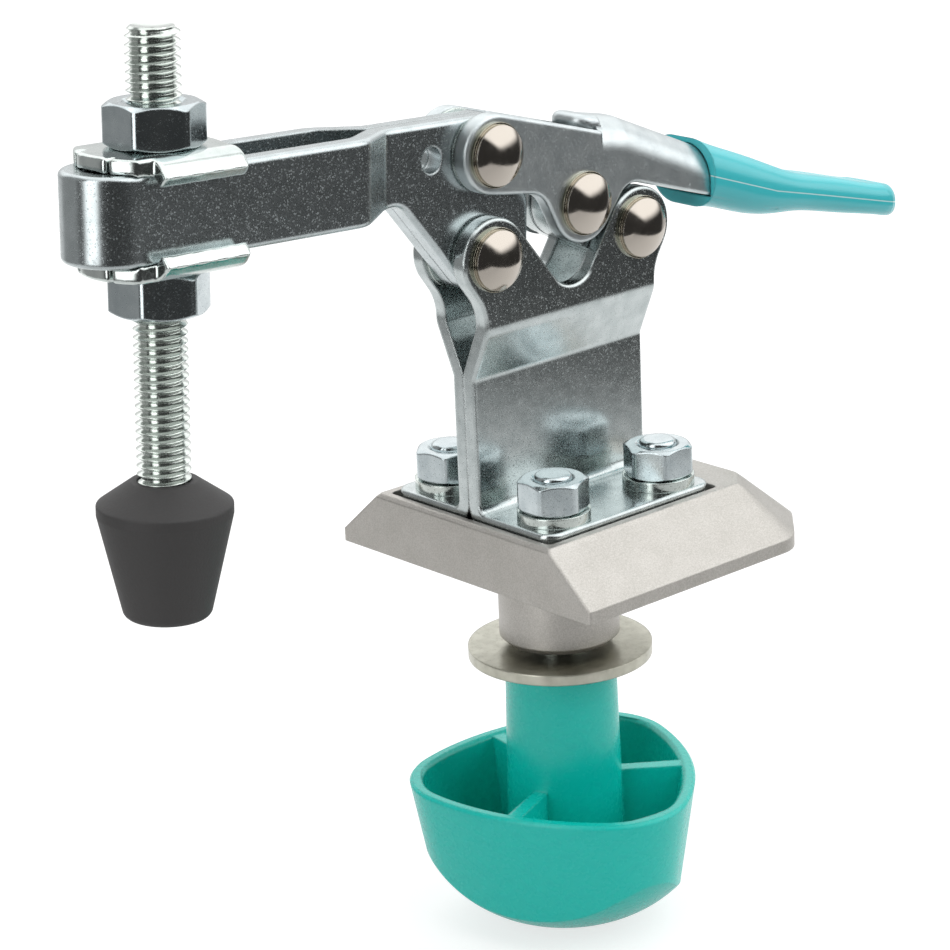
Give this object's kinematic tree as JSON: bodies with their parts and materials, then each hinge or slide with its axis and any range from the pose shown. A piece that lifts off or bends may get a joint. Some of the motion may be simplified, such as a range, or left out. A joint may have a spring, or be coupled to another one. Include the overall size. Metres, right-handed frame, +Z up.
{
  "type": "quick clamp",
  "caption": "Toggle clamp for a bench hole: square base with spigot and lobed knob below, over-centre lever linkage, and a threaded spindle with rubber cap that slides in a strap arm.",
  "frame": {"origin": "on the spigot axis, in the plane of the bench top that the base block rests on", "axes": "+Z up along the spigot axis, +X from the spindle towards the handle, Y across the clamp"},
  "size_m": [0.1679, 0.0578, 0.1595],
  "materials": {
    "cast_block": "fine sand texture",
    "plate_steel": "zinc plated sheet, satin",
    "link_steel": "zinc plated sheet, satin",
    "rivet_steel": "plated, smooth",
    "spacer_steel": "plated, smooth",
    "stud_steel": "plated, smooth",
    "flanged_washer_steel": "zinc plated, satin",
    "clamp_washer_steel": "zinc plated, smooth",
    "screw_washer_steel": "zinc plated, smooth",
    "spindle_nut_steel": "zinc plated, smooth",
    "screw_nut_steel": "zinc plated, smooth",
    "arm_steel": "zinc plated, satin",
    "handle_steel": "zinc plated sheet, satin",
    "grip_plastic": "smooth moulded",
    "knob_plastic": "moulded, satin",
    "spindle_steel": "zinc plated thread",
    "cap_rubber": "matt"
  },
  "bodies": {
    "base": {"base_block": "cast_block", "front_stud": "stud_steel", "front_washer": "screw_washer_steel", "front_nut": "screw_nut_steel", "right_stud": "stud_steel", "right_washer": "screw_washer_steel", "right_nut": "screw_nut_steel", "left_stud": "stud_steel", "left_washer": "screw_washer_steel", "left_nut": "screw_nut_steel", "rear_stud": "stud_steel", "rear_washer": "screw_washer_steel", "rear_nut": "screw_nut_steel", "far_base_plate": "plate_steel", "near_base_plate": "plate_steel", "arm_rivet": "rivet_steel", "link_rivet": "rivet_steel", "far_arm_spacer": "spacer_steel", "near_arm_spacer": "spacer_steel"},
    "links": {"far_toggle_link": "link_steel", "near_toggle_link": "link_steel"},
    "handle": {"handle_channel": "handle_steel", "handle_grip": "grip_plastic", "handle_arm_rivet": "rivet_steel", "handle_link_rivet": "rivet_steel", "far_handle_spacer": "spacer_steel", "near_handle_spacer": "spacer_steel"},
    "arm": {"clamp_arm": "arm_steel"},
    "carriage": {"upper_flanged_washer": "flanged_washer_steel", "lower_flanged_washer": "flanged_washer_steel", "upper_spindle_nut": "spindle_nut_steel", "lower_spindle_nut": "spindle_nut_steel"},
    "spindle": {"spindle_rod": "spindle_steel", "rubber_cap": "cap_rubber"},
    "bench_washer": {"clamp_washer": "clamp_washer_steel"},
    "knob": {"hand_knob": "knob_plastic", "knob_stud": "stud_steel"}
  },
  "joints": [
    {"name": "link_swing", "type": "hinge", "parent": "base", "child": "links", "pos_m": [0.0146, 0, 0.0512], "axis": [0, 1, 0], "range_deg": [0, 75]},
    {"name": "handle_swing", "type": "hinge", "parent": "links", "child": "handle", "pos_m": [0.0029, 0, 0.05726], "axis": [0, 1, 0], "range_deg": [-107.5, 0]},
    {"name": "arm_swing", "type": "hinge", "parent": "base", "child": "arm", "pos_m": [-0.016, 0, 0.0521], "axis": [0, 1, 0], "range_deg": [0, 37.6]},
    {"name": "spindle_reach", "type": "slide", "parent": "arm", "child": "carriage", "axis": [0.9984, 0, -0.0558], "range_m": [-0.007, 0.02]},
    {"name": "spindle_height", "type": "slide", "parent": "carriage", "child": "spindle", "axis": [0.0558, 0, 0.9984], "range_m": [-0.01, 0.022]},
    {"name": "knob_feed", "type": "slide", "parent": "base", "child": "bench_washer", "axis": [0, 0, 1], "range_m": [-0.0141, 0.00095]},
    {"name": "knob_spin", "type": "hinge", "parent": "bench_washer", "child": "knob", "pos_m": [0, 0, -0.05], "axis": [0, 0, 1], "range_deg": [-3360, 216]}
  ],
  "couplings": [
    {"joint": "handle_swing", "follows": "link_swing", "ratio": -1.43},
    {"joint": "arm_swing", "follows": "link_swing", "ratio": 0.5},
    {"joint": "knob_feed", "follows": "knob_spin", "m_per_rad": 0.00023873}
  ]
}
